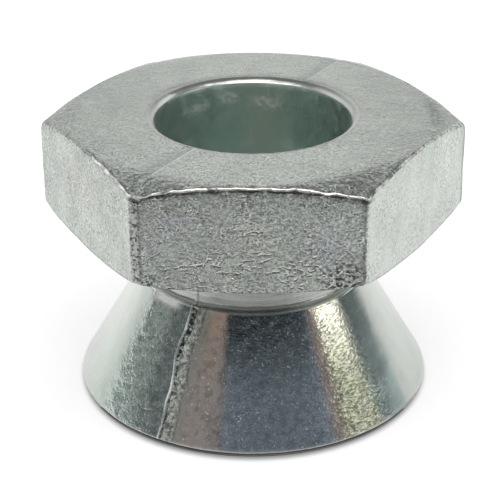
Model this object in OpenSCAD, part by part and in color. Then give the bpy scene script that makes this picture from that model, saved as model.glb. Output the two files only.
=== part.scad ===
// Shear nut: a hex head on a thin neck above a threaded cone, die-cast in one piece.
// A spanner on the head tightens it until the neck shears, and only the smooth cone stays on the bolt.
// Millimetres, +Z up, origin at the centre of the cone's flat base, one hex flat facing -Y.

/* [Thread] */
// Nominal diameter of the bolt's thread
thread_d = 10; // [8:0.5:12]
// Pitch of the thread
thread_pitch = 1.5; // [1:0.25:1.75]
// How far the countersink at each end of the thread opens past the nominal diameter
countersink_margin = 0.2; // [0.1:0.1:0.6]

/* [Head] */
// Width across the flats
across_flats = 19; // [18:0.5:24]
// Height of the hex head
head_h = 5.5; // [4:0.25:8]
// Slope of the corner chamfers on both end faces, in degrees
chamfer_angle = 16.5; // [10:0.5:30]
// How far inside the flats the corner chamfers start
chamfer_inset = 0.15; // [0.05:0.05:0.5]
// How much the cast corners are blunted
corner_blunt = 0.08; // [0.04:0.02:0.3]
// Diametral clearance of the head's bore over the bolt
bore_clearance = 0.1; // [0.1:0.1:1]
// Radius of the rounded mouth of the bore
mouth_r = 0.5; // [0.2:0.1:0.8]

/* [Neck] */
// Thickness of the wall that shears
neck_wall = 0.5; // [0.3:0.05:1]
// Height of the neck between the cone and the head
neck_h = 3.05; // [2:0.25:5]
// Radius of the fillets at both ends of the neck
neck_fillet = 0.3; // [0.1:0.05:0.3]

/* [Cone] */
// Diameter of the cone's base
base_d = 18.8; // [17:0.2:24]
// Height of the cone, from the base to its shoulder
cone_h = 6.2; // [5:0.2:10]
// Width of the flat shoulder round the foot of the neck
shoulder_w = 0.35; // [0.3:0.05:1]
// Height of the upright band round the base
band_h = 0.2; // [0.15:0.05:1]
// Chamfer that breaks the lower edge of the band
band_chamfer = 0.05; // [0.05:0.01:0.1]

/* [Casting marks] */
// Width of the flash ridges along the parting line
ridge_w = 0.4; // [0.2:0.05:0.8]
// How far the flash ridges stand out of the cone
ridge_h = 0.12; // [0.05:0.01:0.3]
// Width of the flat where the flash was trimmed off two corners of the hex
trim_w = 0.55; // [0.3:0.05:0.9]

/* [Hidden] */
$fn = 96;
zinc = [0.70, 0.72, 0.71];
overlap = 0.5;

thread_r = thread_d / 2;
tap_r = (thread_d - thread_pitch) / 2;
countersink_r = thread_r + countersink_margin / 2;
countersink_h = countersink_r - tap_r;
bore_r = (thread_d + bore_clearance) / 2;
neck_r = bore_r + neck_wall;
shoulder_r = neck_r + shoulder_w;
base_r = base_d / 2;
head_z = cone_h + neck_h;
top_z = head_z + head_h;

flat_r = across_flats / 2;
corner_r = flat_r / cos(30);
blunt_r = corner_r - corner_blunt;
chamfer_r = flat_r - chamfer_inset;
chamfer_drop = (blunt_r - chamfer_r) * tan(chamfer_angle);

// The die opens along the plane through two opposite corners of the hex
parting_angle = 60;
trim_r = corner_r - trim_w / 2 / tan(60);
ridge_slope = (base_r - shoulder_r) / (cone_h - band_h);
ridge_rise = ridge_h * sqrt(1 + ridge_slope * ridge_slope);

// Half section of the turned envelope of the head: two faces chamfered towards the corners
module head_section() {
    polygon([
        [0, head_z],
        [chamfer_r, head_z],
        [blunt_r, head_z + chamfer_drop],
        [blunt_r, top_z - chamfer_drop],
        [chamfer_r, top_z],
        [0, top_z],
    ]);
}

// Hex head: a hexagonal prism cut to the chamfered envelope, with the flash trimmed off two corners
module hex_head() {
    intersection() {
        translate([0, 0, head_z])
            cylinder(r = corner_r, h = head_h, $fn = 6);
        rotate_extrude()
            head_section();
        rotate(parting_angle)
            translate([-trim_r, -across_flats, head_z])
                cube([2 * trim_r, 2 * across_flats, head_h]);
    }
}

// Half section of the cone; grow offsets its slope outwards for the flash ridge
module cone_section(grow = 0) {
    polygon([
        [0, 0],
        [base_r - band_chamfer, 0],
        [base_r, band_chamfer],
        [base_r, band_h],
        [base_r + grow, band_h],
        [shoulder_r + grow, cone_h],
        [0, cone_h],
    ]);
}

// Half section of the neck with a quarter-round fillet at each end
module neck_section() {
    difference() {
        translate([0, cone_h])
            square([neck_r + neck_fillet, neck_h]);
        translate([neck_r, cone_h + neck_fillet])
            square([neck_fillet + overlap, neck_h - 2 * neck_fillet]);
        for (z = [cone_h + neck_fillet, head_z - neck_fillet])
            translate([neck_r + neck_fillet, z])
                circle(r = neck_fillet);
    }
}

// Flash left by the die along both sides of the cone, on the parting plane
module flash_ridges() {
    intersection() {
        rotate_extrude()
            cone_section(ridge_rise);
        rotate(parting_angle)
            translate([-base_d, -ridge_w / 2, band_h])
                cube([2 * base_d, ridge_w, cone_h - band_h]);
    }
}

// Way for the bolt: thread bore with countersinks, then the clear bore with a rounded mouth
module bolt_passage() {
    translate([0, 0, -overlap])
        cylinder(r = tap_r, h = cone_h + overlap);
    cylinder(r1 = countersink_r, r2 = tap_r, h = countersink_h);
    translate([0, 0, cone_h - (bore_r - tap_r)])
        cylinder(r1 = tap_r, r2 = bore_r, h = bore_r - tap_r);
    translate([0, 0, cone_h])
        cylinder(r = bore_r, h = top_z - cone_h + overlap);
    rotate_extrude()
        translate([bore_r, top_z - mouth_r])
            difference() {
                translate([-overlap, 0])
                    square([overlap + mouth_r, mouth_r + overlap]);
                translate([mouth_r, 0])
                    circle(r = mouth_r);
            }
}

module shear_nut() {
    color(zinc)
        difference() {
            union() {
                hex_head();
                rotate_extrude()
                    neck_section();
                rotate_extrude()
                    cone_section();
                flash_ridges();
            }
            bolt_passage();
        }
}

shear_nut();
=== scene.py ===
"""Looks of the shear nut: one cast zinc piece with its casting marks and a real thread."""

import math

import bpy
import numpy as np
from mathutils import Matrix, Vector


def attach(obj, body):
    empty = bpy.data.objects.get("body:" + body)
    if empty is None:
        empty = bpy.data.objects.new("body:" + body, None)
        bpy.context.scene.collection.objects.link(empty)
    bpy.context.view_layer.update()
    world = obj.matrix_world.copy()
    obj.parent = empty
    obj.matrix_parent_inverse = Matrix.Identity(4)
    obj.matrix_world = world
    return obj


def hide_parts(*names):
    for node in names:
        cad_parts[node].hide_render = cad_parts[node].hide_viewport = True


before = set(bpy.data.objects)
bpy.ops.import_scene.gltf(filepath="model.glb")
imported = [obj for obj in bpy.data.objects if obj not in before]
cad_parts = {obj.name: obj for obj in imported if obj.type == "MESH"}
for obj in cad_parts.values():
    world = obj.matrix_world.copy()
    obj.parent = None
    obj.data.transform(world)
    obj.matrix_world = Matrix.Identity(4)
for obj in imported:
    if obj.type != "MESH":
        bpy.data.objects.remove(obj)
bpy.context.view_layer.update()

MM = 0.001

# Sizes of the part, in millimetres
FLAT_R = 9.5
CHAMFER_R, LOW_CHAMFER_R = 9.35, 9.42
CHAMFER_TAN = math.tan(math.radians(16.5))
CORNER_ROUND = 0.15
TRIM_W = 0.55
TRIM_R = FLAT_R / math.cos(math.pi / 6) - TRIM_W / 2 / math.tan(math.pi / 3)
HEAD_Z, TOP_Z = 9.25, 14.75
BORE_R, MOUTH_R = 5.05, 0.5
NECK_R, NECK_FILLET = 5.55, 0.3
CONE_Z, SHOULDER_R = 6.2, 5.9
BASE_R, BAND_Z, BASE_ROUND = 9.4, 0.2, 0.12
TAP_R, THREAD_R, PITCH = 4.25, 5.03, 1.5
# Half the flat at the thread's root and the width of a flank, in pitches, and the steps of its rings
ROOT_HALF, FLANK, THREAD_STEPS = 0.125, 0.3125, 30
COUNTERSINK_R = 5.1
PARTING = math.radians(60)

# Eased edges: top of the band, top of the cone, inner ends of the chamfers
HEM, SHOULDER_EASE, CHAMFER_EASE = 0.05, 0.1, 0.25
# Lower edges of the hex, how much more at its corners, and its upper edges
LOW_EASE, CORNER_EASE, TOP_EASE = 0.04, 0.16, 0.15
# How much more of the last at the left and right corners, and how many degrees that reaches
SIDE_EASE, SIDE_REACH = 0.35, 9

# Section of the lip on the upper edge: out and up from the sharp edge, and how much painted highlight its
# bevel takes
LIP = [
    (0.0, -0.16, 0), (0.045, -0.11, 0), (0.065, -0.068, 0),
    (0.06, -0.058, 1), (0.0, 0.0, 1), (-0.05, 0.05, 1),
    (-0.058, 0.055, 0), (-0.07, 0.047, 0), (-0.08, 0.035, 0),
]
LIP_IN = -LIP[-1][0]
# Where the lip fades out, in degrees from the camera: past the front edge, on the left one, on both sides
LIP_FRONT = (29, 33)
LIP_LEFT, LIP_LEFT_SHARE = (-70, -56, -30, -24), 0.95
LIP_SIDES, LIP_SIDES_SHARE = (46, 72), 0.75
# Section of the bore's mouth, out from the bore and down from the top: a dished ring, a bevel and an edge
MOUTH_RING = [(0.43, 0.004), (0.36, 0.016), (0.28, 0.042), (0.2, 0.08), (0.115, 0.16)]
BORE_EDGE = [(0.03, 0.24), (0.01, 0.3)]

HEX, CONE, MOUTH, BORE, THREAD = "hex", "cone", "mouth", "bore", "thread"


def smooth(a, b, x):
    """0 below a, 1 above b, eased between."""
    t = np.clip((x - a) / (b - a), 0, 1)
    return t * t * (3 - 2 * t)


def between(x, a, b, c, d):
    """0 below a, 1 from b to c, 0 above d, eased between."""
    return smooth(a, b, x) * smooth(d, c, x)


def hump(x, middle, reach):
    """1 at the middle, fading away on both sides."""
    return np.exp(-(((x - middle) / reach) ** 2))


def noise(p, scale, seed):
    """Smooth random field from -1 to 1 at points p, with features about scale wide."""
    q = np.asarray(p) / scale
    base = np.floor(q).astype(np.int64)
    f = q - base
    f = f * f * (3 - 2 * f)
    total = 0
    for dx in (0, 1):
        for dy in (0, 1):
            for dz in (0, 1):
                k = (base[..., 0] + dx) * 374761393 + (base[..., 1] + dy) * 668265263
                k = k + (base[..., 2] + dz) * 2147483647 + seed * 974711
                k = (k ^ (k >> 13)) * 1274126177
                k = (k ^ (k >> 16)) & 0xFFFF
                w = (f[..., 0] if dx else 1 - f[..., 0]) * (f[..., 1] if dy else 1 - f[..., 1])
                total = total + w * (f[..., 2] if dz else 1 - f[..., 2]) * (k / 32767.5 - 1)
    return total


def wrap(a):
    """An angle brought between -pi and pi."""
    return (a + math.pi) % (2 * math.pi) - math.pi


def azimuths():
    """Angles round the axis, close together at the six corners and along the parting plane."""
    half = [0.13, 0.26, 0.39, 0.6, 0.8, 1.0, 1.2, 1.4, 1.65, 1.95, 2.3, 2.8, 3.4, 4.2, 5.2, 6.4]
    half += list(np.linspace(7.2, 29.3, 27))
    sector = sorted([0.0, 30.0] + half + [-a for a in half])
    return np.radians(np.concatenate([np.array(sector) + 60 * k for k in range(6)]))


THETA = azimuths()
# Degrees round from the side that faces the camera, + to the right
TURNED = np.degrees(wrap(THETA + math.pi / 2))
SIDE = np.abs(TURNED)
# Angle from the nearest corner, and from the nearest half of the parting plane
FROM_CORNER = wrap(THETA * 6) / 6
FROM_PARTING = wrap((THETA - PARTING) * 2) / 2
# The half of the plane at the back, and the die half that stands a little higher
AT_BACK = np.abs(wrap(THETA - PARTING)) < math.pi / 2
HIGH_SIDE = np.where(AT_BACK, -1, 1)


def hex_radius():
    """Outline of the hexagon: flats, rounded corners, and two corners trimmed of their flash."""
    a = np.abs(FROM_CORNER)
    flat = FLAT_R / np.cos(math.pi / 6 - a)
    centre = (FLAT_R - CORNER_ROUND) / math.cos(math.pi / 6)
    inside = np.maximum(CORNER_ROUND**2 - (centre * np.sin(a)) ** 2, 0)
    arc = centre * np.cos(a) + np.sqrt(inside)
    tangent = math.atan(CORNER_ROUND * 0.5 / (centre + CORNER_ROUND * math.cos(math.pi / 6)))
    r = np.where(a < tangent, arc, flat)
    trimmed = TRIM_R / np.cos(FROM_PARTING)
    return np.where(np.abs(FROM_PARTING) < 0.2, np.minimum(r, trimmed), r)


HEX_R = hex_radius()
ONE = np.ones_like(THETA)
EDGE = np.stack([HEX_R * np.cos(THETA), HEX_R * np.sin(THETA), 0 * THETA], axis=-1)
# Fall of the chamfers from the end faces to the edge of the hex
DROP = (HEX_R - CHAMFER_R) * CHAMFER_TAN
LOW_DROP = (HEX_R - LOW_CHAMFER_R) * CHAMFER_TAN
# 1 at the corners of the hex
AT_CORNER = hump(HEX_R * FROM_CORNER, 0, 0.6)


def lip_share():
    """How much of the upper edge is a rolled lip: all of it in front, some along the sides, none behind."""
    front = 1 - smooth(*LIP_FRONT, SIDE)
    left = LIP_LEFT_SHARE * between(TURNED, *LIP_LEFT)
    return np.maximum(np.maximum(front, left), LIP_SIDES_SHARE * (1 - smooth(*LIP_SIDES, SIDE)))


def lip_size():
    """Uneven thickness of the lip along the edges."""
    size = 0.85 * (1 + 0.35 * noise(EDGE, 0.8, 55) + 0.35 * noise(EDGE, 0.35, 56))
    return np.clip(size, 0.45, 1.1) * (1 + 0.15 * hump(TURNED, -40, 7))


def lip_wave():
    """Uneven rise and swing of the lip along the edges, in millimetres."""
    wave = 0.03 * noise(EDGE, 0.9, 53) + 0.035 * noise(EDGE, 0.4, 54)
    wave = wave + 0.03 * np.round(1.5 * noise(EDGE, 1.3, 57))
    swing = 0.03 * noise(EDGE, 0.7, 51) + 0.03 * noise(EDGE, 0.3, 52)
    return wave * lip_share(), swing * lip_share()


rows = []


def row(r, z, zone, glint=0):
    """One ring of the mesh: radius, height and painted highlight at every azimuth, and the zone it belongs
    to.
    """
    rows.append((r * ONE, z * ONE, zone, glint * ONE))


def line(r0, z0, r1, z1, count, zone, ends=(True, True)):
    """Rings along a straight stretch of the section."""
    for k in range(count + 1):
        if (k == 0 and not ends[0]) or (k == count and not ends[1]):
            continue
        t = k / count
        row(r0 + (r1 - r0) * t, z0 + (z1 - z0) * t, zone)


def bend(r0, z0, rc, zc, r1, z1, count, zone):
    """Rings round an eased edge from one point to another, pulled towards the sharp edge."""
    for k in range(1, count):
        t = k / count
        a, b, c = (1 - t) ** 2, 2 * t * (1 - t), t * t
        row(a * r0 + b * rc + c * r1, a * z0 + b * zc + c * z1, zone)


def cone_rows():
    """Base, band, flank and shoulder."""
    line(COUNTERSINK_R, 0, BASE_R - BASE_ROUND, 0, 2, CONE)
    bend(BASE_R - BASE_ROUND, 0, BASE_R, 0, BASE_R, BASE_ROUND, 4, CONE)
    row(BASE_R, BASE_ROUND, CONE)
    slope = (SHOULDER_R - BASE_R) / (CONE_Z - BAND_Z)
    low, high = BAND_Z + HEM, CONE_Z - SHOULDER_EASE
    r_low, r_high = BASE_R + slope * HEM, SHOULDER_R - slope * SHOULDER_EASE
    bend(BASE_R, BAND_Z - HEM, BASE_R, BAND_Z, r_low, low, 4, CONE)
    line(r_low, low, r_high, high, 42, CONE)
    bend(r_high, high, SHOULDER_R, CONE_Z, SHOULDER_R - SHOULDER_EASE, CONE_Z, 4, CONE)


def neck_rows():
    """Neck with its fillets."""
    foot = NECK_R + NECK_FILLET
    row(min(foot, SHOULDER_R - 0.8 * SHOULDER_EASE), CONE_Z + 0.002, CONE)
    for k in range(1, 5):
        a = math.pi / 2 * k / 4
        row(foot - NECK_FILLET * math.sin(a), CONE_Z + NECK_FILLET * (1 - math.cos(a)), CONE)
    line(NECK_R, CONE_Z + NECK_FILLET, NECK_R, HEAD_Z - NECK_FILLET, 4, CONE, (False, False))
    for k in range(0, 5):
        a = math.pi / 2 * k / 4
        row(foot - NECK_FILLET * math.cos(a), HEAD_Z - NECK_FILLET * (1 - math.sin(a)), CONE)


def hex_rows():
    """Underside of the head, lower chamfer, flats, lip, upper chamfer and top face."""
    line(NECK_R + NECK_FILLET, HEAD_Z, LOW_CHAMFER_R - CHAMFER_EASE, HEAD_Z, 3, HEX, (False, True))
    start = np.minimum(CHAMFER_EASE, 0.35 * (HEX_R - LOW_CHAMFER_R))
    r_in, z_in = LOW_CHAMFER_R + start, HEAD_Z + start * CHAMFER_TAN
    bend(LOW_CHAMFER_R - CHAMFER_EASE, HEAD_Z, LOW_CHAMFER_R, HEAD_Z, r_in, z_in, 4, HEX)
    ease = LOW_EASE + CORNER_EASE * AT_CORNER
    r_out, z_out = HEX_R - ease, HEAD_Z + LOW_DROP - ease * CHAMFER_TAN
    line(r_in, z_in, r_out, z_out, 4, HEX)
    top_ease = TOP_EASE + SIDE_EASE * hump(SIDE, 90, SIDE_REACH)
    low, high = HEAD_Z + LOW_DROP + ease, TOP_Z - DROP - top_ease - 0.04 * lip_share()
    bend(r_out, z_out, HEX_R, HEAD_Z + LOW_DROP, HEX_R, low, 4, HEX)
    for t in [0, 0.02, 0.05, *np.linspace(0.085, 0.92, 20), 0.94, 0.955, 0.967, 0.977, 0.985, 0.993, 1]:
        row(HEX_R, low + (high - low) * t, HEX)
    # The upper edge is soft behind and a lip in front
    share, size = lip_share(), lip_size()
    width = HEX_R - CHAMFER_R
    inner = np.minimum(top_ease, 0.55 * width)
    for k, (out, up, glint) in enumerate(LIP):
        t = (k + 1) / len(LIP)
        soft_out = -inner * t * t
        soft_up = -top_ease * (1 - t) ** 2 + inner * CHAMFER_TAN * t * t
        r = HEX_R + share * size * out + (1 - share) * soft_out
        row(r, TOP_Z - DROP + share * size * up + (1 - share) * soft_up, HEX, glint * share)
    start = np.minimum(CHAMFER_EASE, 0.35 * width)
    r_in, z_in = CHAMFER_R + start, TOP_Z - start * CHAMFER_TAN
    gap = np.maximum(inner, LIP_IN * share * size + 0.01)
    line(HEX_R - gap, TOP_Z - DROP + gap * CHAMFER_TAN, r_in, z_in, 5, HEX)
    bend(r_in, z_in, CHAMFER_R, TOP_Z, CHAMFER_R - CHAMFER_EASE, TOP_Z, 4, HEX)
    line(CHAMFER_R - CHAMFER_EASE, TOP_Z, BORE_R + MOUTH_R, TOP_Z, 13, HEX)


def bore_rows():
    """Mouth and wall of the bore, then the thread between its countersinks."""
    for out, down in MOUTH_RING:
        row(BORE_R + out, TOP_Z - down, MOUTH)
    for out, down in BORE_EDGE:
        row(BORE_R + out, TOP_Z - down, BORE)
    line(BORE_R, TOP_Z - MOUTH_R, BORE_R, CONE_Z, 6, BORE)
    turn = THETA / (2 * math.pi)
    for k in range(1, THREAD_STEPS):
        z = CONE_Z * (1 - k / THREAD_STEPS)
        phase = (z / PITCH - turn) % 1.0
        groove = np.clip((np.abs(phase - 0.5) - ROOT_HALF) / FLANK, 0, 1)
        r = THREAD_R + (TAP_R - THREAD_R) * groove
        sink = max(BORE_R - (CONE_Z - z), COUNTERSINK_R - z)
        row(np.maximum(r, sink), z, THREAD)


# All rings of the part, from the base's countersink out, up over the head and down the bore
cone_rows()
neck_rows()
hex_rows()
bore_rows()
RADIUS = np.array([r[0] for r in rows])
HEIGHT = np.array([r[1] for r in rows])
ZONE = np.array([r[2] for r in rows])[:, None]
GLINT = np.array([r[3] for r in rows])
POINT = np.stack([RADIUS * np.cos(THETA), RADIUS * np.sin(THETA), HEIGHT], axis=-1)

# Where on the part each vertex lies
ON_HEX = ZONE == HEX
ON_FLANK = ON_HEX & (RADIUS > HEX_R - 0.03) & (HEIGHT < TOP_Z - DROP + 0.03)
ON_SLOPE = (ZONE == CONE) & (HEIGHT > BAND_Z - 0.02) & (HEIGHT < CONE_Z + 0.01)
ON_NECK = (ZONE == CONE) & (HEIGHT > CONE_Z + 0.05) & (HEIGHT < HEAD_Z - 0.05)
# Distance below the upper edge of the hex, and 1 along its lower edge
BELOW_EDGE = TOP_Z - DROP - HEIGHT
BY_LOW_EDGE = hump(HEIGHT - HEAD_Z, LOW_DROP, 0.7)
# Distance from the parting plane along the surface, and from the parting line towards its higher side
ACROSS = RADIUS * FROM_PARTING
TOWARD = ACROSS * HIGH_SIDE
# Zones of the hex: top face, chamfers, the flats to the front and to the left, the two trimmed corners
FLAT_TOP = ON_HEX & (HEIGHT > TOP_Z - 0.05) & (RADIUS < CHAMFER_R)
ON_CHAMFER = ON_HEX & ~ON_FLANK & ~FLAT_TOP
FRONT = 1 - smooth(28.5, 31.5, SIDE)
LEFT_FLAT = ON_FLANK * between(TURNED, -92, -88, -34, -30)
TRIMMED = ON_FLANK * (1 - smooth(0.2, 0.3, np.abs(ACROSS)))


def flash_line():
    """Bank, torn groove and crumbs of the flash on the parting plane, each from 0 to 1."""
    side = np.where(AT_BACK, 7, 0)
    along = np.stack([side + 0 * RADIUS, 0 * RADIUS, HEIGHT], -1)
    jog = 0.2 * hump(HEIGHT, 4.1, 0.9)
    t = ACROSS + jog - 0.03 * noise(along, 0.9, 11) - 0.03 * noise(along, 0.3, 14)
    width = 0.12 + 0.16 * smooth(2.5, 5.0, HEIGHT) + 0.06 * noise(along, 0.5, 15)
    thick = 0.034 + 0.02 * noise(along, 0.6, 17)
    bank = hump(t, -0.06, thick)
    groove = smooth(-0.03, 0.04, t) * (1 - smooth(width - 0.07, width + 0.03, t))
    crumbs = smooth(width - 0.03, width + 0.05, t) * (1 - smooth(0.55, 0.85, t))
    return bank * ON_SLOPE, groove * ON_SLOPE, crumbs * ON_SLOPE


def lip_line():
    """How far each vertex belongs to the lip on the upper edges, and to the nick under it."""
    lip = ON_HEX * smooth(-0.2, -0.1, -BELOW_EDGE) * smooth(-0.32, -0.17, RADIUS - HEX_R)
    nick = between(BELOW_EDGE, 0.02, 0.05, 0.16, 0.24) + 0.4 * hump(BELOW_EDGE, 0.27, 0.13)
    front = 1 - smooth(*LIP_FRONT, SIDE)
    left = 0.2 * between(TURNED, -66, -52, -32, -28)
    return lip, (ON_FLANK | (BELOW_EDGE > 0)) * ON_HEX * nick * np.maximum(front, left)


def cast_surface():
    """Moves the clean rings by what casting and trimming left: ridges, steps, dents and waviness."""
    r, z = RADIUS.copy(), HEIGHT.copy()
    # Flash line down the cone
    bank, groove, crumbs = flash_line()
    ridge = bank * (0.07 + 0.03 * noise(POINT, 0.3, 12)) - groove * (0.05 - 0.07 * noise(POINT, 0.24, 16))
    ridge = ridge + crumbs * (0.03 + 0.06 * noise(POINT, 0.26, 13))
    lean = math.atan((BASE_R - SHOULDER_R) / (CONE_Z - BAND_Z))
    r = r + ridge * math.cos(lean)
    z = z + ridge * math.sin(lean)
    # Tick of flash on the neck
    r = r + ON_NECK * 0.04 * hump(ACROSS, 0, 0.07)
    # Slow waviness of the cone and of the neck
    r = r + (ON_SLOPE | ON_NECK) * (0.012 * noise(POINT, 1.6, 21) + 0.006 * noise(POINT, 0.7, 22))
    # Hammered look of the hex: shallow dents on every face
    swell = 0.022 * noise(POINT, 2.1, 31) + 0.016 * noise(POINT, 0.9, 32) + 0.008 * noise(POINT, 0.45, 33)
    over_edge = smooth(0.0, 0.25, HEX_R - RADIUS)
    r = r + ON_HEX * (1 - over_edge) * swell
    up = np.where(HEIGHT > (HEAD_Z + TOP_Z) / 2, 1, -1)
    z = z + ON_HEX * over_edge * up * swell * (0.25 + 0.6 * smooth(0.0, 0.4, TOP_Z - HEIGHT))
    # Uneven lip rolled over the upper edges of the hex, with a nick under it
    lip, nick = lip_line()
    wave, swing = lip_wave()
    r = r + lip * swing - 0.035 * nick
    z = z + lip * wave
    # Corners worn down at the upper edge, except at the left and right
    worn = 0.1 - 0.1 * hump(SIDE, 90, 12)
    z = z - worn * AT_CORNER * ON_HEX * smooth(0.9, 0.1, HEX_R - RADIUS) * (BELOW_EDGE < 0.3)
    # The two trimmed corners are rough
    trimmed = ON_FLANK & (np.abs(ACROSS) < TRIM_W / 2)
    r = r + trimmed * (0.03 * noise(POINT, 0.3, 41) - 0.01)
    # Step of the parting line across the top face
    top = ON_HEX & ~ON_FLANK & (HEIGHT > TOP_Z - 0.6)
    step = smooth(-0.04, 0.04, TOWARD) * hump(TOWARD, 0, 1.5)
    z = z + top * (0.02 * step - 0.02 * hump(TOWARD, -0.35, 0.3))
    # Soft dip where the chamfer meets the top face near the corners
    z = z - top * 0.03 * smooth(0.35, 0.9, HEX_R - CHAMFER_R) * hump(RADIUS, CHAMFER_R, 0.22)
    return r, z


def build_nut():
    """The whole nut as one closed mesh, with the values that its materials read."""
    r, z = cast_surface()
    n, m = r.shape
    verts = np.stack([r * np.cos(THETA), r * np.sin(THETA), z], axis=-1).reshape(-1, 3) * MM
    i, j = np.meshgrid(np.arange(n), np.arange(m), indexing="ij")
    i2, j2 = (i + 1) % n, (j + 1) % m
    faces = np.stack([i * m + j, i * m + j2, i2 * m + j2, i2 * m + j], axis=-1).reshape(-1, 4)
    mesh = bpy.data.meshes.new("shear_nut_cast")
    mesh.from_pydata(verts.tolist(), [], faces.tolist())
    mesh.update()
    nut = bpy.data.objects.new("shear_nut_cast", mesh)
    bpy.context.collection.objects.link(nut)
    for p in mesh.polygons:
        p.use_smooth = True
    kinds = {HEX: 0, CONE: 1, MOUTH: 1, BORE: 2, THREAD: 2}
    index = np.array([kinds[k] for k in ZONE[:, 0]])
    mesh.polygons.foreach_set("material_index", np.repeat(index, m).astype(np.int32))
    for name, values in paint().items():
        layer = mesh.attributes.new(name, "FLOAT", "POINT")
        layer.data.foreach_set("value", values.reshape(-1).astype(np.float32))
    # Colours of the painted reflections on the cone
    tint = np.concatenate([painted_reflection_tint(), np.ones((n, m, 1))], -1)
    layer = mesh.attributes.new("tint", "FLOAT_COLOR", "POINT")
    layer.data.foreach_set("color", tint.reshape(-1).astype(np.float32))
    return nut


def spot(turned, height, wide, tall):
    """A soft patch on a flat of the hex: its direction in degrees, its height and reach in millimetres."""
    across = RADIUS * wrap(np.radians(TURNED - turned))
    return ON_FLANK * hump(across, 0, wide) * hump(HEIGHT, height, tall)


def hex_smudge():
    """How pitted and sooty the hex is."""
    by_corner = hump(RADIUS * FROM_CORNER, 0, 0.5)
    patch = smooth(-0.2, 0.5, noise(POINT, 1.3, 61))
    pits = (0.1 + 0.25 * BY_LOW_EDGE * patch + 0.3 * by_corner * patch) * (0.2 + 0.8 * FRONT)
    # Soot in the lower corners of the front flat
    soot = 1.4 * spot(25.8, 10.1, 1.0, 0.8) + spot(-27.8, 9.9, 0.7, 0.5)
    return np.where(ON_FLANK, pits + soot + TRIMMED, np.where(FLAT_TOP, 0.08, 0.25))


def hex_painted_highlight():
    """Painted highlight: the bevel of the lip, whole in front, dashed at the sides, and the parting line."""
    dashes = smooth(-0.6, -0.1, noise(EDGE, 0.7, 58))
    sparks = 0.5 + 0.5 * smooth(-0.2, 0.2, noise(EDGE, 0.26, 64))
    breaks = smooth(0.3, 0.5, noise(EDGE, 0.3, 59)) * (0.3 + 0.7 * smooth(4, -8, TURNED))
    whole = 1 + 0.25 * noise(POINT, 0.5, 63) - 0.8 * breaks
    lip = GLINT * np.where(FRONT > 0.5, whole, dashes * sparks)
    parting = FLAT_TOP * hump(TOWARD, 0.05, 0.05) * np.where(AT_BACK, 0.12, 0.3)
    return lip + parting


def hex_shade():
    """Painted shade on the hex: dark lines and soft shades."""
    # Painted shade under and over the lip, and a soft painted shade lower down on the front flat
    shade = lip_line()[1] * (0.95 + 0.4 * noise(POINT, 0.6, 62))
    over_lip = ON_HEX * smooth(66, 50, SIDE) * (BELOW_EDGE < -0.005)
    shade = shade + over_lip * hump(HEX_R - RADIUS, 0.11, 0.06) * (0.65 + 0.5 * noise(POINT, 0.3, 69))
    shade = shade + 0.18 * ON_FLANK * FRONT * hump(BELOW_EDGE, 0.7, 0.5)
    # Painted shade down the corners, beside the trimmed strips and along the parting line
    corner = ON_FLANK * hump(RADIUS * FROM_CORNER, -0.13, 0.09) * (np.abs(ACROSS) > 1)
    shade = shade + corner * (0.5 + 0.3 * noise(POINT, 0.5, 65))
    shade = shade + 0.8 * ON_FLANK * hump(ACROSS, 0.27, 0.05)
    shade = shade + 0.32 * FLAT_TOP * (TOWARD < 0.02) * hump(TOWARD, 0, 0.5)
    # Painted shade where the chamfer meets the top face, and along the lower edges at the sides
    rim = hump(RADIUS, CHAMFER_R + 0.05, 0.27) * smooth(0.35, 0.9, HEX_R - CHAMFER_R)
    rim = rim * (HEIGHT > HEAD_Z + 2)
    shade = shade + (0.42 - 0.28 * smooth(0, -20, TURNED)) * rim
    low_edge = hump(HEIGHT - HEAD_Z - LOW_DROP, 0.02, 0.06) * smooth(31, 35, SIDE)
    shade = shade + 0.45 * ON_FLANK * low_edge
    # Painted shade on the left flat with random clouds of tone in it, a trace on the right flat, on the
    # sides of the top face and round the bore
    clouds = noise(POINT, 1.1, 67) + 0.8 * noise(POINT, 0.5, 68)
    shade = shade + LEFT_FLAT * (0.16 + 0.09 * clouds)
    shade = shade + 0.06 * ON_FLANK * between(TURNED, 30, 34, 88, 92)
    shade = shade + 0.17 * FLAT_TOP * smooth(3, 8, np.abs(POINT[..., 0]))
    return shade + 0.35 * FLAT_TOP * hump(RADIUS, BORE_R + MOUTH_R, 0.3) * smooth(95, 125, SIDE)


def paint_hex():
    """Values on the vertices that the material of the hex reads."""
    near = 0.5 + 0.5 * smooth(-2, 7, -POINT[..., 1])
    flank = 0.5 + 0.4 * FRONT + 0.15 * FRONT * BY_LOW_EDGE + 0.3 * LEFT_FLAT
    low_on_flat = 0.45 + 0.55 * smooth(12.0, 11.0, HEIGHT)
    cool = spot(20.8, 11.7, 1.1, 1.0) + spot(-20.8, 13.0, 0.9, 0.6)
    cool = cool + 0.8 * spot(-24.9, 11.6, 0.6, 0.7) + spot(-80, 12.2, 0.5, 0.6)
    warm = spot(0.6, 12.3, 1.2, 0.8) + 0.5 * spot(-9.0, 10.4, 1.6, 0.6) + 0.6 * spot(-60, 12.6, 1.5, 0.9)
    by_edge = smooth(0.9, 0.5, HEX_R - RADIUS)
    return {
        "grain": np.where(ON_FLANK, flank, np.where(FLAT_TOP, 0.85 * near, 0.9 * near)),
        "hammer": np.where(ON_FLANK, flank, np.where(FLAT_TOP, 0.38, 0.65)),
        "crease": ON_FLANK * FRONT * (1 - TRIMMED) * low_on_flat,
        "smudge": np.clip(hex_smudge(), 0, 1),
        "shade": np.clip(hex_shade(), 0, 1),
        # edge is the painted highlight on the lip and the parting line, and dull how far that highlight is
        # matte white
        "edge": np.clip(hex_painted_highlight(), 0, 1),
        "trim": TRIMMED,
        "dull": 0.9 - 0.65 * FRONT + 0 * RADIUS,
        "cool": cool,
        "warm": warm,
        "scratch": ON_CHAMFER * between(TURNED, 18, 22, 29, 32) * by_edge,
    }
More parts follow.
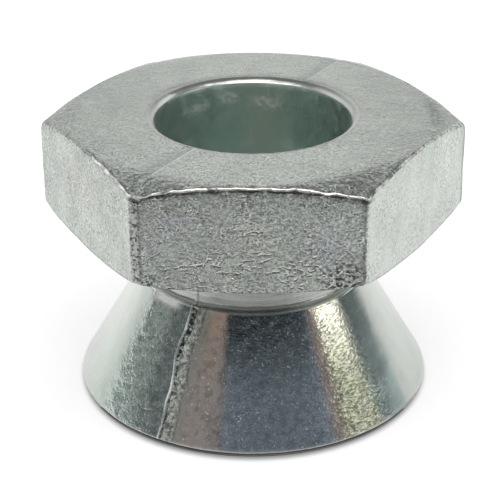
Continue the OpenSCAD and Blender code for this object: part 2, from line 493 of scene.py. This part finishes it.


# Painted reflections round the cone: the colours of what it mirrors, by degrees from the camera, for its
# upper and its lower end
PALE, PALE_RIGHT, BACK = (0.64, 0.665, 0.62), (0.53, 0.56, 0.52), (0.58, 0.61, 0.57)
GREEN, DEEP_GREEN = (0.62, 0.75, 0.64), (0.46, 0.56, 0.54)
TEAL = (0.38, 0.48, 0.465)
PAINTED_REFLECTION_HIGH = [
    (-180, BACK), (-90, PALE), (-70, PALE),
    (-54, (0.57, 0.64, 0.58)), (-44, GREEN), (-32, DEEP_GREEN),
    (-25, (0.50, 0.50, 0.44)), (-21, (0.48, 0.45, 0.38)),
    (-17, (0.78, 0.54, 0.42)), (-13, (0.74, 0.54, 0.44)),
    (-10, (0.10, 0.14, 0.16)), (25, (0.10, 0.145, 0.17)),
    (29, (0.64, 0.50, 0.42)), (33, (1.0, 0.99, 0.86)), (46, (0.97, 0.97, 0.83)),
    (50, TEAL), (59, TEAL), (62, PALE_RIGHT), (90, PALE_RIGHT), (180, BACK),
]
PAINTED_REFLECTION_LOW = [
    (-180, BACK), (-90, PALE), (-78, PALE),
    (-58, (0.52, 0.60, 0.54)), (-44, GREEN), (-32, (0.50, 0.57, 0.55)),
    (-25, (0.58, 0.58, 0.52)), (-21, (0.70, 0.61, 0.55)),
    (-17, (0.69, 0.61, 0.56)), (-11, (0.67, 0.61, 0.58)),
    (-8, (0.55, 0.69, 0.80)), (25, (0.50, 0.63, 0.74)),
    (29, (0.64, 0.50, 0.44)), (33, (0.36, 0.38, 0.27)), (44, (0.39, 0.42, 0.31)),
    (48, TEAL), (59, TEAL), (62, PALE_RIGHT), (90, PALE_RIGHT), (180, BACK),
]


def painted_reflection_tint():
    """Colour of the painted reflection at every vertex of the cone."""
    lower = (1 - smooth(2.2, 6.3, HEIGHT))[..., None]
    ends = []
    for painted_reflection in (PAINTED_REFLECTION_HIGH, PAINTED_REFLECTION_LOW):
        turned = [stop[0] for stop in painted_reflection]
        channels = [[stop[1][k] for stop in painted_reflection] for k in range(3)]
        ends.append(np.stack([np.interp(TURNED, turned, values) for values in channels], -1))
    return ends[0] * (1 - lower) + ends[1] * lower


def paint_cone():
    """Values on the vertices that the materials of the cone, of the bore's mouth and of the bore read."""
    bank, groove, crumbs = flash_line()
    on_mouth = ZONE == MOUTH
    painted_reflection = smooth(BAND_Z - 0.05, BAND_Z + 0.05, HEIGHT) * (1 - smooth(CONE_Z - 0.1, CONE_Z, HEIGHT))
    painted_reflection = painted_reflection * (ZONE == CONE)
    lower = 1 - smooth(1.5, 6.5, HEIGHT)
    # Stretches of the slope by the colour of their painted reflection
    yellow = between(TURNED, 26, 33, 46, 54)
    green = between(TURNED, -60, -52, -32, -24)
    dark = between(TURNED, -12, -8, 26, 32)
    brown_to_yellow = between(TURNED, -26, -21, 46, 54)
    # Painted highlights on the edges: the top of the base band, the shoulder with a glint at its left, the
    # mouth, its far rim
    hem = 0.6 * ON_SLOPE * hump(HEIGHT, BAND_Z, 0.04)
    shoulder = ON_SLOPE * hump(HEIGHT, CONE_Z, 0.05)
    glint = between(TURNED, -60, -52, -42, -34)
    hem = hem + 0.3 * shoulder * smooth(-0.2, -0.05, RADIUS - SHOULDER_R)
    hem = hem + 0.9 * ON_SLOPE * glint * smooth(5.75, 5.95, HEIGHT)
    near = smooth(0, 4, -POINT[..., 1])
    hem = hem + on_mouth * (0.1 + 0.5 * near * hump(RADIUS - BORE_R, 0.12, 0.08))
    rim = (HEIGHT > TOP_Z - 0.28) * hump(RADIUS - BORE_R, 0.07, 0.06) * smooth(70, 120, SIDE)
    hem = hem + rim * np.clip(0.8 + 0.5 * noise(POINT, 1.4, 71), 0, 1)
    return {
        "seam": np.clip(groove + crumbs, 0, 1),
        # Painted highlight along the crest of the flash bank and on the edges
        "painted_highlight": np.clip(bank * (0.75 + 0.5 * noise(POINT, 0.5, 66)) + hem, 0, 1),
        "crack": groove,
        "painted_reflection": painted_reflection,
        "lower": lower,
        "spotty": painted_reflection * brown_to_yellow * (1 - 0.6 * yellow),
        "grainy": painted_reflection * dark + 0.9 * painted_reflection * green,
        "wrinkle": painted_reflection * yellow * (0.5 + 0.5 * lower),
        "mottle": painted_reflection * green,
        "soft": painted_reflection * np.maximum(smooth(47, 55, TURNED), smooth(-54, -64, TURNED)),
        "matt": np.where(on_mouth, 0.5, 1 - painted_reflection),
        "far_side": smooth(90, 150, SIDE) + 0 * RADIUS,
        "warm_patch": (POINT[..., 1] > 0) * hump(POINT[..., 0], 0.7, 1.4),
    }


def paint():
    """All values on the vertices that the materials read, apart from the tint of the painted reflections."""
    return {**paint_hex(), **paint_cone()}


class Nodes:
    """Short way to write a shader tree."""

    def __init__(self, tree):
        self.tree = tree

    def add(self, kind, **values):
        node = self.tree.nodes.new(kind)
        for key, value in values.items():
            setattr(node, key, value)
        return node

    def link(self, a, b):
        self.tree.links.new(a, b)

    def coords(self, sx=1.0, sy=1.0, sz=1.0, shift=0.0, fall=0.0):
        """Object coordinates in millimetres, stretched and moved along; fall lowers the pattern."""
        tex = self.add("ShaderNodeTexCoord")
        mapping = self.add("ShaderNodeMapping")
        mapping.inputs["Location"].default_value = (shift, shift, shift + fall)
        mapping.inputs["Scale"].default_value = (sx / MM, sy / MM, sz / MM)
        self.link(tex.outputs["Object"], mapping.inputs["Vector"])
        return mapping.outputs["Vector"]

    def noise(self, vector, scale, detail=4.0, rough=0.55):
        node = self.add("ShaderNodeTexNoise")
        node.inputs["Scale"].default_value = scale
        node.inputs["Detail"].default_value = detail
        node.inputs["Roughness"].default_value = rough
        self.link(vector, node.inputs["Vector"])
        return node.outputs["Fac"]

    def cells(self, feature, where, scale, warp):
        """Distance within irregular cells, about one over scale wide, with borders bent by warp."""
        sway = self.add("ShaderNodeTexNoise")
        sway.inputs["Scale"].default_value = scale * 0.6
        self.link(where, sway.inputs["Vector"])
        moved = self.add("ShaderNodeVectorMath", operation="MULTIPLY_ADD")
        self.link(sway.outputs["Color"], moved.inputs[0])
        moved.inputs[1].default_value = (warp, warp, warp)
        self.link(where, moved.inputs[2])
        node = self.add("ShaderNodeTexVoronoi", feature=feature)
        node.inputs["Scale"].default_value = scale
        self.link(moved.outputs[0], node.inputs["Vector"])
        return node.outputs["Distance"]

    def creases(self, shift, scale, width, cover, fall=0.0):
        """Thin angular creases, mostly level, broken up so that about cover of them is left."""
        where = self.coords(0.6, 0.6, 1.2, shift, fall)
        edges = self.cells("DISTANCE_TO_EDGE", where, scale, 0.5 / scale)
        lines = self.ramp(edges, [(0.4 * width, 1.0), (width, 0.0)])
        level = 0.72 - 0.4 * cover
        left = self.ramp(self.noise(where, 1.3 * scale, 1, 0.5), [(level, 0.0), (level + 0.06, 1.0)])
        return self.math("MULTIPLY", lines, left)

    def strokes(self, marks, width, fall=0.0):
        """1 along wavering marks, seen from the front, each from one (x, z) to another in millimetres."""
        reach = 0.25
        flat = self.coords(1, 0, 1, 0, fall)
        sway = self.add("ShaderNodeTexNoise")
        sway.inputs["Scale"].default_value = 2.5
        self.link(flat, sway.inputs["Vector"])
        place = self.add("ShaderNodeVectorMath", operation="MULTIPLY_ADD")
        self.link(sway.outputs["Color"], place.inputs[0])
        place.inputs[1].default_value = (reach, 0, reach)
        self.link(flat, place.inputs[2])
        drawn = 0.0
        for (x0, z0), (x1, z1) in marks:
            along = Vector((x1 - x0, 0, z1 - z0))
            start = self.add("ShaderNodeVectorMath", operation="SUBTRACT")
            self.link(place.outputs[0], start.inputs[0])
            start.inputs[1].default_value = Vector((x0, 0, z0)) + Vector((reach / 2, 0, reach / 2))
            share = self.add("ShaderNodeVectorMath", operation="DOT_PRODUCT")
            self.link(start.outputs[0], share.inputs[0])
            share.inputs[1].default_value = along / along.length_squared
            inside = self.add("ShaderNodeClamp")
            self.link(share.outputs["Value"], inside.inputs["Value"])
            nearest = self.add("ShaderNodeVectorMath", operation="SCALE")
            nearest.inputs[0].default_value = along
            self.link(inside.outputs[0], nearest.inputs["Scale"])
            gap = self.add("ShaderNodeVectorMath", operation="DISTANCE")
            self.link(start.outputs[0], gap.inputs[0])
            self.link(nearest.outputs[0], gap.inputs[1])
            mark = self.ramp(gap.outputs["Value"], [(0.5 * width, 1.0), (width, 0.0)])
            drawn = self.math("MAXIMUM", drawn, mark)
        worn = self.ramp(self.noise(place.outputs[0], 3.5, 2, 0.6), [(0.38, 0.15), (0.58, 1.0)])
        return self.math("MULTIPLY", drawn, worn)

    def ramp(self, fac, stops):
        node = self.add("ShaderNodeValToRGB")
        while len(node.color_ramp.elements) < len(stops):
            node.color_ramp.elements.new(0.5)
        for e, (pos, col) in zip(node.color_ramp.elements, stops):
            e.position = pos
            e.color = (*col, 1) if not isinstance(col, (int, float)) else (col, col, col, 1)
        self.link(fac, node.inputs["Fac"])
        return node.outputs["Color"]

    def math(self, op, a, b):
        node = self.add("ShaderNodeMath", operation=op)
        for k, v in enumerate((a, b)):
            if isinstance(v, (int, float)):
                node.inputs[k].default_value = v
            else:
                self.link(v, node.inputs[k])
        return node.outputs[0]

    def times(self, a, *others):
        for b in others:
            a = self.math("MULTIPLY", a, b)
        return a

    def mix(self, fac, a, b):
        node = self.add("ShaderNodeMix", data_type="RGBA")
        for key, v in ((0, fac), (6, a), (7, b)):
            if isinstance(v, (int, float)):
                node.inputs[key].default_value = v
            elif isinstance(v, tuple):
                node.inputs[key].default_value = (*v, 1)
            else:
                self.link(v, node.inputs[key])
        return node.outputs[2]

    def bump(self, height, distance, after=None):
        node = self.add("ShaderNodeBump")
        node.inputs["Distance"].default_value = distance * MM
        self.link(height, node.inputs["Height"])
        if after is not None:
            self.link(after, node.inputs["Normal"])
        return node.outputs["Normal"]

    def attribute(self, name):
        return self.add("ShaderNodeAttribute", attribute_name=name).outputs["Fac"]

    def seen_rays(self):
        """1 for the camera and for reflections, 0 for light that falls on things."""
        path = self.add("ShaderNodeLightPath")
        seen = self.math("MAXIMUM", path.outputs["Is Camera Ray"], path.outputs["Is Glossy Ray"])
        return self.math("MAXIMUM", seen, path.outputs["Is Transmission Ray"])


def metal(name):
    """A new material, its tree and its shader."""
    mat = bpy.data.materials.new(name)
    mat.use_nodes = True
    return mat, Nodes(mat.node_tree), mat.node_tree.nodes["Principled BSDF"].inputs


# Creases on the front flat that the photo shows one by one, from (x, z) to (x, z)
MARKS = [
    ((-4.0, 10.55), (-3.1, 10.75)), ((-3.1, 10.75), (-2.3, 10.8)), ((-2.2, 10.75), (-1.95, 11.3)),
    ((-5.05, 10.9), (-4.2, 11.5)), ((0.1, 10.75), (0.35, 10.95)), ((0.35, 10.95), (1.1, 11.2)),
    ((0.15, 10.7), (0.5, 10.7)), ((4.0, 10.95), (4.3, 11.3)), ((3.6, 12.05), (3.65, 11.35)),
    ((-1.4, 10.4), (-0.5, 10.4)), ((0.45, 10.4), (1.5, 10.5)), ((1.4, 10.7), (1.9, 10.65)),
    ((-2.2, 13.55), (-1.5, 14.05)), ((2.3, 12.25), (3.25, 12.8)),
    ((4.1, 10.55), (4.7, 10.3)), ((4.0, 10.2), (4.55, 10.65)),
]


def zinc_hex():
    """Satin cast zinc: crumpled skin, creases with painted highlights and shadows, dark pits, painted shade,
    a painted highlight on the lip, rough trimmed corners.
    """
    mat, n, shader = metal("zinc_cast_satin")
    where = n.coords()
    grain, smudge, edge = n.attribute("grain"), n.attribute("smudge"), n.attribute("edge")
    blotch = n.noise(where, 0.45, 4, 0.6)
    mottle = n.noise(where, 4.6, 2, 0.5)
    patchy = n.ramp(n.noise(n.coords(shift=53.0), 0.8, 2, 0.5), [(0.35, 0.35), (0.65, 1.0)])
    grit = n.noise(n.coords(shift=41.0), 8.5, 2, 0.6)
    # Creases: a shallow bump with a painted highlight along each and a painted shadow under it
    creased = n.attribute("crease")
    long_bright = n.times(n.strokes(MARKS, 0.042), creased)
    long_dark = n.times(n.strokes(MARKS, 0.075, 0.075), creased)
    rough = n.times(grain, patchy, n.math("ADD", creased, 0.7))
    short_bright = n.times(n.creases(31.7, 3.2, 0.10, 0.5), rough)
    short_dark = n.times(n.creases(31.7, 3.2, 0.14, 0.5, 0.07), rough)
    bright = n.math("MAXIMUM", long_bright, n.times(short_bright, 0.65))
    dark = n.math("MAXIMUM", n.times(long_dark, 0.8), n.times(short_dark, 0.6))
    # dark gathers the painted crease shadows, the pits and the painted shade from the mesh
    pits = n.noise(n.coords(shift=11.1), 5.5, 2, 0.5)
    dark = n.math("MAXIMUM", dark, n.times(n.ramp(pits, [(0.42, 1.0), (0.50, 0.0)]), smudge))
    dark = n.math("MAXIMUM", dark, n.attribute("shade"))
    # Colour
    colour = n.ramp(blotch, [(0.3, (0.43, 0.47, 0.43)), (0.7, (0.60, 0.65, 0.60))])
    colour = n.mix(n.times(n.attribute("cool"), 0.7), colour, (0.50, 0.53, 0.59))
    colour = n.mix(n.times(n.attribute("warm"), 0.6), colour, (0.54, 0.52, 0.48))
    lighter = n.times(n.ramp(mottle, [(0.35, 0.0), (0.65, 1.0)]), grain, 0.3)
    colour = n.mix(lighter, colour, (0.79, 0.83, 0.78))
    glitter = n.times(n.ramp(grit, [(0.54, 0.0), (0.63, 1.0)]), grain, patchy, 0.8)
    colour = n.mix(glitter, colour, (0.93, 0.97, 0.92))
    pores = n.times(n.ramp(grit, [(0.37, 1.0), (0.46, 0.0)]), grain, patchy, 0.95)
    colour = n.mix(pores, colour, (0.14, 0.15, 0.14))
    drawn = n.ramp(n.noise(n.coords(1, 1, 0.3, 23.0), 1.0, 3, 0.5), [(0.45, 0.0), (0.7, 0.4)])
    colour = n.mix(drawn, colour, (0.42, 0.42, 0.40))
    colour = n.mix(n.times(n.attribute("trim"), 0.65), colour, (0.30, 0.30, 0.29))
    colour = n.mix(dark, colour, (0.08, 0.08, 0.08))
    scratches = n.ramp(n.noise(n.coords(5.0, 0.7, 1.0, 13.0), 1.0, 1, 0.5), [(0.60, 0.0), (0.66, 1.0)])
    bright = n.math("MAXIMUM", bright, n.times(scratches, n.attribute("scratch")))
    # Painted highlights of the creases, and the real scratches on the chamfer
    colour = n.mix(n.times(bright, 0.85), colour, (0.97, 0.98, 0.96))
    # Painted highlight on the lip's bevel and on the parting line
    colour = n.mix(edge, colour, (1.0, 1.0, 0.98))
    n.link(colour, shader["Base Color"])
    # The painted highlights are less metallic, so that they read white
    pale = n.math("MAXIMUM", n.times(bright, 0.5), n.times(edge, n.attribute("dull")))
    n.link(n.math("SUBTRACT", 1.0, pale), shader["Metallic"])
    gloss = n.ramp(blotch, [(0.3, 0.22), (0.7, 0.30)])
    n.link(n.mix(edge, gloss, (0.12, 0.12, 0.12)), shader["Roughness"])
    # Relief
    crumple = n.cells("F1", n.coords(shift=71.0), 2.6, 0.45)
    crumple = n.math("ADD", crumple, n.times(n.cells("F1", n.coords(shift=17.0), 5.2, 0.25), 0.5))
    relief = n.math("ADD", n.times(bright, 0.4), n.times(mottle, 0.4))
    relief = n.math("ADD", relief, crumple)
    calm = n.math("SUBTRACT", 1.0, n.times(edge, 0.8))
    n.link(n.bump(n.times(relief, n.attribute("hammer"), calm), 0.07), shader["Normal"])
    return mat


def zinc_cone():
    """Smoother passivated zinc: painted reflections round the slope, fine ripples and a rough flash line."""
    mat, n, shader = metal("zinc_bright_cone")
    where = n.coords()
    painted_reflection, lower, matt = n.attribute("painted_reflection"), n.attribute("lower"), n.attribute("matt")
    seam, painted_highlight = n.attribute("seam"), n.attribute("painted_highlight")
    mottled, soft = n.attribute("mottle"), n.attribute("soft")
    streak = n.noise(n.coords(1, 1, 0.15), 1.6, 4, 0.6)
    grain = n.noise(n.coords(shift=9.0), 8.0, 1, 0.5)
    cloud = n.noise(n.coords(shift=19.0), 2.6, 3, 0.6)
    rings = n.noise(n.coords(0.15, 0.15, 2.0), 1.6, 3, 0.5)
    crumb = n.noise(where, 4.8, 2, 0.6)
    # Colour: plain neck and base, painted reflections on the slope
    plain = n.ramp(rings, [(0.3, (0.30, 0.32, 0.30)), (0.7, (0.52, 0.53, 0.51))])
    colour = n.mix(painted_reflection, plain, n.add("ShaderNodeAttribute", attribute_name="tint").outputs["Color"])
    colour = n.mix(n.times(n.ramp(streak, [(0.35, 0.0), (0.7, 0.3)]), painted_reflection), colour, (0.46, 0.49, 0.50))
    colour = n.mix(n.times(n.ramp(cloud, [(0.35, 0.8), (0.5, 0.0)]), mottled), colour, (0.26, 0.34, 0.34))
    colour = n.mix(n.times(n.ramp(cloud, [(0.55, 0.0), (0.7, 0.7)]), mottled), colour, (0.85, 0.90, 0.84))
    fine = n.noise(n.coords(shift=37.0), 11.0, 1, 0.5)
    grainy = n.times(n.attribute("grainy"), n.ramp(cloud, [(0.4, 0.25), (0.6, 1.0)]))
    colour = n.mix(n.times(n.ramp(cloud, [(0.52, 0.0), (0.68, 0.35)]), grainy), colour, (0.66, 0.78, 0.86))
    colour = n.mix(n.times(n.ramp(fine, [(0.5, 0.0), (0.64, 0.42)]), grainy), colour, (0.70, 0.82, 0.90))
    colour = n.mix(n.times(n.ramp(fine, [(0.36, 0.4), (0.5, 0.0)]), grainy), colour, (0.10, 0.12, 0.12))
    shadow = n.times(n.ramp(cloud, [(0.34, 0.4), (0.52, 0.0)]), n.attribute("spotty"))
    colour = n.mix(shadow, colour, (0.16, 0.16, 0.16))
    speck = n.times(n.ramp(grain, [(0.64, 0.0), (0.74, 0.6)]), painted_reflection)
    speck = n.times(speck, n.ramp(streak, [(0.35, 0.3), (0.6, 1.0)]))
    colour = n.mix(speck, colour, (0.80, 0.88, 0.92))
    # Wrinkles in the painted yellow reflection: a real bump, with painted highlights on their crests and
    # painted shade in their troughs
    wrinkles = n.noise(n.coords(0.7, 0.7, 1.7, 29.0), 5.0, 1, 0.5)
    wrinkled = n.attribute("wrinkle")
    crests = n.times(n.ramp(wrinkles, [(0.54, 0.0), (0.66, 0.5)]), wrinkled)
    colour = n.mix(crests, colour, (0.80, 0.82, 0.64))
    troughs = n.times(n.ramp(wrinkles, [(0.35, 0.6), (0.46, 0.0)]), wrinkled)
    colour = n.mix(troughs, colour, (0.16, 0.16, 0.08))
    # Crumbs and the torn groove of the flash line
    crumbs = n.ramp(crumb, [(0.36, (0.14, 0.15, 0.13)), (0.6, (0.78, 0.82, 0.76))])
    colour = n.mix(n.times(seam, 0.8), colour, crumbs)
    torn = n.times(n.attribute("crack"), n.ramp(crumb, [(0.46, 1.0), (0.60, 0.0)]))
    colour = n.mix(torn, colour, (0.05, 0.05, 0.04))
    # Painted highlights on the flash bank and the eased edges
    colour = n.mix(painted_highlight, colour, (1.0, 1.0, 0.97))
    n.link(colour, shader["Base Color"])
    # The painted highlights are partly matte white, less so on the far side
    dull = n.math("SUBTRACT", 0.85, n.times(n.attribute("far_side"), 0.7))
    pale = n.math("MAXIMUM", n.times(painted_highlight, dull), n.times(speck, 0.6))
    n.link(n.math("SUBTRACT", 1.0, pale), shader["Metallic"])
    sleek = n.ramp(streak, [(0.3, 0.07), (0.7, 0.13)])
    gloss = n.mix(lower, sleek, n.ramp(streak, [(0.3, 0.16), (0.7, 0.24)]))
    gloss = n.mix(matt, gloss, (0.24, 0.24, 0.24))
    gloss = n.mix(n.times(soft, 0.6), gloss, (0.26, 0.26, 0.26))
    n.link(n.mix(seam, gloss, (0.4, 0.4, 0.4)), shader["Roughness"])
    # Relief: slow waves and fine grain, calmer at the sides, then wrinkles, mottling, crumbs and rings
    calm = n.math("SUBTRACT", 1.0, n.times(soft, 0.8))
    relief = n.bump(n.times(n.noise(where, 1.2, 2, 0.5), calm), 0.03)
    relief = n.bump(n.times(grain, painted_reflection, calm), 0.009, relief)
    relief = n.bump(n.times(wrinkles, wrinkled), 0.025, relief)
    relief = n.bump(n.times(cloud, mottled), 0.03, relief)
    relief = n.bump(n.times(crumb, seam), 0.1, relief)
    n.link(n.bump(n.times(rings, matt), 0.05, relief), shader["Normal"])
    return mat


# Pale smears on the far wall of the bore, from (x, z) to (x, z)
SMEARS = [((0.3, 13.5), (1.2, 13.35)), ((-1.6, 13.8), (-1.1, 13.75)), ((-3.5, 13.35), (-2.7, 13.5))]


def zinc_bore():
    """Dull drawn wall of the bore and of the thread, with a few pale stains."""
    mat, n, shader = metal("zinc_bore")
    where = n.coords()
    blotch = n.noise(where, 1.1, 5, 0.6)
    stain = n.ramp(n.noise(n.coords(shift=5.0), 0.9, 4, 0.65), [(0.56, 0.0), (0.72, 0.45)])
    colour = n.ramp(blotch, [(0.3, (0.71, 0.84, 0.785)), (0.7, (0.84, 0.95, 0.905))])
    # Painted shade: the far wall darker
    colour = n.mix(n.times(n.attribute("far_side"), 0.2), colour, (0.42, 0.50, 0.46))
    # A warmer patch in the middle of the far wall
    colour = n.mix(n.times(n.attribute("warm_patch"), 0.6), colour, (0.80, 0.77, 0.69))
    colour = n.mix(stain, colour, (0.85, 0.90, 0.88))
    smear = n.times(n.strokes(SMEARS, 0.4), n.attribute("far_side"), 0.5)
    colour = n.mix(smear, colour, (1.0, 0.96, 0.88))
    n.link(colour, shader["Base Color"])
    n.link(n.math("SUBTRACT", 1.0, n.times(n.math("MAXIMUM", stain, smear), 0.5)), shader["Metallic"])
    n.link(n.ramp(blotch, [(0.3, 0.3), (0.7, 0.42)]), shader["Roughness"])
    n.link(n.bump(n.noise(where, 2.5, 4, 0.6), 0.02), shader["Normal"])
    return mat


nut = build_nut()
for material in (zinc_hex(), zinc_cone(), zinc_bore()):
    nut.data.materials.append(material)
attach(nut, "root")
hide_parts("shear_nut")


# The lamps and the middle of the round cards look at this height, in metres
MIDDLE_Z = 0.008
WORLD_LEVEL = 0.75
# Floor: its size, how far it lies back and below the base, in metres
FLOOR_SIZE, FLOOR_BACK, FLOOR_BELOW = 1.2, 0.2, 0.00002
# Its grey, the darker grey painted into it as contact shadow, and the fill that makes it look white
FLOOR_GREY, FLOOR_SHADE, FLOOR_FILL = 0.85, 0.5, 0.37
# Painted contact shadow: where it starts and ends, in millimetres out from the base, and its shift to the
# camera
SHADOW_START, SHADOW_END, SHADOW_SHIFT = -0.35, 0.2, 0.35
# Cards bent round the nut: name, azimuths and elevations from and to, distance and grey
ROUND_CARDS = [
    ("card_front_low", -23, 51, 3, 31, 0.16, 0.20),
    ("card_front_high", -23, 51, 31, 54, 0.16, 0.06),
    ("card_front_left", -59, -23, 3, 54, 0.17, 0.31),
    ("card_left_dark", -80, -59, 3, 54, 0.17, 0.18),
    ("card_left_grey", -110, -80, 3, 54, 0.175, 0.33),
    ("card_left", -146, -110, 4, 54, 0.18, 0.62),
    ("card_right_front", 51, 97, 3, 54, 0.26, 0.34),
    ("card_right", 95, 121, 3, 54, 0.19, 0.20),
    ("card_over_right", 90, 180, 42, 88, 0.32, 0.27),
    ("card_over_left", 180, 270, 42, 88, 0.32, 0.32),
    ("card_back", 168, 194, 3, 45, 0.40, 0.82),
    ("card_back_right", 146, 168, 3, 45, 0.41, 0.68),
    ("card_back_left", 194, 216, 3, 45, 0.41, 0.68),
]
# Cards on the table, seen only in reflections, that stand for shade: the table in front darker, and the
# contact shadow under the nut; name, x from and to, y from and to, height and grey
FLAT_CARDS = [
    ("card_table_near", -0.028, 0.028, -0.034, -0.0135, 0.0002, 0.66),
    ("card_table_far", -0.028, 0.028, -0.16, -0.034, 0.0002, 0.26),
    ("card_under_shadow", -0.009, 0.009, -0.0135, -0.005, 0.0001, 0.10),
]


def set_camera():
    """The photo's view, worked out from the outline of the nut."""
    tilt, turn, roll = math.radians(26.31), math.radians(0.97), math.radians(0.24)
    distance, shift_x, shift_y, target_z = 81.44, -0.162, -0.996, 8
    lens_px, image_px, sensor = 1530.28, 500, 36
    back = Vector((0, -math.cos(tilt), math.sin(tilt)))
    right = Vector((1, 0, 0))
    up = Vector((0, math.sin(tilt), math.cos(tilt)))
    place = (back * distance + right * shift_x + up * shift_y + Vector((0, 0, target_z))) * MM
    side = right * math.cos(roll) - up * math.sin(roll)
    over = right * math.sin(roll) + up * math.cos(roll)
    m = Matrix((
        (side.x, over.x, back.x, place.x),
        (side.y, over.y, back.y, place.y),
        (side.z, over.z, back.z, place.z),
        (0, 0, 0, 1),
    ))
    data = bpy.data.cameras.new("camera")
    data.sensor_width = sensor
    data.lens = lens_px / image_px * sensor
    data.clip_start = 0.001
    data.clip_end = 10
    cam = bpy.data.objects.new("camera", data)
    bpy.context.collection.objects.link(cam)
    cam.matrix_world = Matrix.Rotation(turn, 4, "Z") @ m
    bpy.context.scene.camera = cam


def lamp(name, place, width, height, level, colour=(1, 1, 1)):
    """A soft box aimed at the nut that looks as bright as level, where 1 is white."""
    data = bpy.data.lights.new(name, "AREA")
    data.shape = "RECTANGLE"
    data.size, data.size_y = width, height
    data.energy = level * math.pi * width * height
    data.color = colour
    obj = bpy.data.objects.new(name, data)
    bpy.context.collection.objects.link(obj)
    obj.location = place
    obj.rotation_euler = (Vector((0, 0, MIDDLE_Z)) - Vector(place)).to_track_quat("-Z", "Y").to_euler()


def set_world(level):
    """White to the camera and in reflections, and a plain level of light for everything else."""
    world = bpy.data.worlds.new("studio")
    bpy.context.scene.world = world
    world.use_nodes = True
    world.cycles.sampling_method = "NONE"
    n = Nodes(world.node_tree)
    n.tree.nodes.clear()
    out = n.add("ShaderNodeOutputWorld")
    room = n.add("ShaderNodeBackground")
    room.inputs["Color"].default_value = (level, level, level, 1)
    white = n.add("ShaderNodeBackground")
    white.inputs["Color"].default_value = (1, 1, 1, 1)
    mix = n.add("ShaderNodeMixShader")
    n.link(n.seen_rays(), mix.inputs["Fac"])
    n.link(room.outputs[0], mix.inputs[1])
    n.link(white.outputs[0], mix.inputs[2])
    n.link(mix.outputs[0], out.inputs["Surface"])


def set_floor():
    """Pale floor that looks white and keeps the nut's shadow, with a painted contact shadow round the base.
    """
    bpy.ops.mesh.primitive_plane_add(size=FLOOR_SIZE, location=(0, FLOOR_BACK, -FLOOR_BELOW))
    floor = bpy.context.object
    floor.name = "floor"
    mat, n, shader = metal("floor_white")
    shader["Roughness"].default_value = 0.9
    shader["Specular IOR Level"].default_value = 0.0
    shader["Emission Color"].default_value = (1, 1, 1, 1)
    # The fill stops short of the nut's base and the floor's grey darkens there: a painted contact shadow,
    # leaning to the camera, over the real one
    away = n.add("ShaderNodeVectorMath", operation="DISTANCE")
    n.link(n.add("ShaderNodeNewGeometry").outputs["Position"], away.inputs[0])
    away.inputs[1].default_value = (0, -SHADOW_SHIFT * MM, 0)
    clear = n.add("ShaderNodeMapRange", interpolation_type="SMOOTHSTEP")
    clear.inputs["From Min"].default_value = (BASE_R + SHADOW_START) * MM
    clear.inputs["From Max"].default_value = (BASE_R + SHADOW_END) * MM
    n.link(away.outputs["Value"], clear.inputs["Value"])
    shade, grey = (FLOOR_SHADE,) * 3, (FLOOR_GREY,) * 3
    n.link(n.mix(clear.outputs["Result"], shade, grey), shader["Base Color"])
    n.link(n.times(n.seen_rays(), clear.outputs["Result"], FLOOR_FILL), shader["Emission Strength"])
    floor.data.materials.append(mat)


def card(name, corners, grey):
    """A plain card that only shows in reflections; corners is a grid of rows of points."""
    verts = [c for line_of in corners for c in line_of]
    wide = len(corners[0])
    faces = []
    for i in range(len(corners) - 1):
        for j in range(wide - 1):
            k = i * wide + j
            faces.append((k, k + 1, k + wide + 1, k + wide))
    mesh = bpy.data.meshes.new(name)
    mesh.from_pydata(verts, [], faces)
    mat = bpy.data.materials.new(name)
    mat.use_nodes = True
    n = Nodes(mat.node_tree)
    n.tree.nodes.clear()
    glow = n.add("ShaderNodeEmission")
    glow.inputs["Color"].default_value = (grey, grey, grey, 1)
    n.link(glow.outputs[0], n.add("ShaderNodeOutputMaterial").inputs["Surface"])
    mesh.materials.append(mat)
    obj = bpy.data.objects.new(name, mesh)
    bpy.context.collection.objects.link(obj)
    obj.visible_camera = False
    obj.visible_diffuse = False
    obj.visible_shadow = False


def round_card(name, az0, az1, el0, el1, distance, grey):
    """A card bent round the nut. Azimuth 0 is at the camera, and + goes to the right."""
    grid = []
    for e in np.radians(np.linspace(el0, el1, 4)):
        line_of = []
        for a in np.radians(np.linspace(az0, az1, 13)):
            flat = distance * math.cos(e)
            line_of.append((flat * math.sin(a), -flat * math.cos(a), distance * math.sin(e) + MIDDLE_Z))
        grid.append(line_of)
    card(name, grid, grey)


def flat_card(name, x0, x1, y0, y1, z, grey):
    """A card that lies level on the table."""
    card(name, [[(x0, y0, z), (x1, y0, z)], [(x0, y1, z), (x1, y1, z)]], grey)


set_camera()
set_world(WORLD_LEVEL)
set_floor()
lamp("over", (0, -0.10, 0.25), 0.46, 0.12, 1.15)
lamp("right", (0.229, -0.057, 0.089), 0.10, 0.05, 1.3, (1, 0.98, 0.90))
for values in ROUND_CARDS:
    round_card(*values)
for values in FLAT_CARDS:
    flat_card(*values)
bpy.context.scene.view_settings.view_transform = "Standard"
